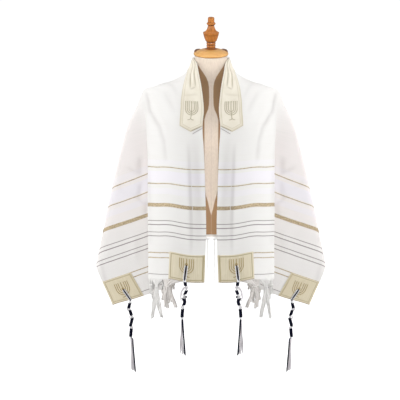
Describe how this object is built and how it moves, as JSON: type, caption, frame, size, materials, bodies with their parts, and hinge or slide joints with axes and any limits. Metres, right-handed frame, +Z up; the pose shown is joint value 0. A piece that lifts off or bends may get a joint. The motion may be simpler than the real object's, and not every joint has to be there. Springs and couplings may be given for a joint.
{
  "type": "tallit prayer shawl on a dress form",
  "caption": "Rectangular tallit draped open over a limbless dress form, with satin neckband and corner patches, knotted fringe and wound corner tassels, on a pole stand.",
  "frame": {"origin": "on the floor, at the centre of the stand's round base, which is the bottom centre of the box", "axes": "+Z up, the shawl's open front towards -Y, the wearer's left shoulder towards +X, mirrored across X = 0"},
  "size_m": [0.7628, 0.3406, 1.2996],
  "materials": {
    "ivory_cloth": "ivory woven cloth with gold and mauve stripes and satin bands",
    "neckband_satin": "cream satin with a stitched border",
    "patch_satin": "pale gold satin with gold embroidery",
    "tassel_cord": "white cord with navy windings",
    "fringe_yarn": "twisted off-white yarn",
    "form_linen": "beige linen jersey stretched over a padded form",
    "cap_maple": "varnished light maple",
    "finial_wood": "glossy reddish-brown turned wood",
    "stand_lacquer": "white lacquered steel"
  },
  "bodies": {
    "root": {"shawl_back": "ivory_cloth", "shawl_left": "ivory_cloth", "shawl_right": "ivory_cloth", "neckband": "neckband_satin", "patch_front_left": "patch_satin", "patch_front_right": "patch_satin", "patch_outer_left": "patch_satin", "patch_outer_right": "patch_satin", "tassel_front_left": "tassel_cord", "tassel_front_right": "tassel_cord", "tassel_outer_left": "tassel_cord", "tassel_outer_right": "tassel_cord", "fringe_left": "fringe_yarn", "fringe_right": "fringe_yarn", "form_torso": "form_linen", "neck_cap": "cap_maple", "finial": "finial_wood", "stand_pole": "stand_lacquer", "stand_base": "stand_lacquer"}
  },
  "joints": []
}
